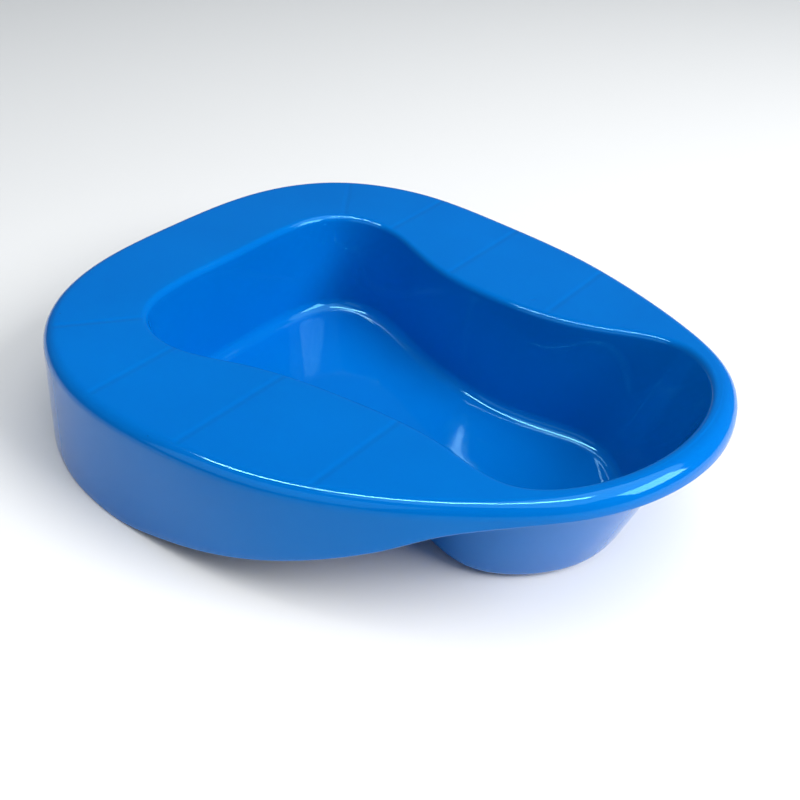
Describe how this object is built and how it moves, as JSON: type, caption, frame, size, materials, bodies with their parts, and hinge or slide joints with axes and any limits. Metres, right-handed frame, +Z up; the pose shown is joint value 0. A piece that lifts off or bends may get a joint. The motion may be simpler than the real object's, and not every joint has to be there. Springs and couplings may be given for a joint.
{
  "type": "bedpan",
  "caption": "Contoured bedpan with a broad sloping seat, a basin open at the top and a deep bowl end, moulded in glossy blue plastic.",
  "frame": {"origin": "on the table, in the middle of the pan's length and width", "axes": "+X along the pan towards the deep bowl end, +Y to the side, +Z up"},
  "size_m": [0.3704, 0.3016, 0.0902],
  "materials": {
    "pan_plastic": "glossy moulded polypropylene"
  },
  "bodies": {
    "root": {"seat_deck": "pan_plastic", "front_rim": "pan_plastic", "outer_skirt": "pan_plastic", "basin_wall": "pan_plastic", "basin_floor": "pan_plastic", "side_ribs": "pan_plastic", "corner_ribs": "pan_plastic"}
  },
  "joints": []
}
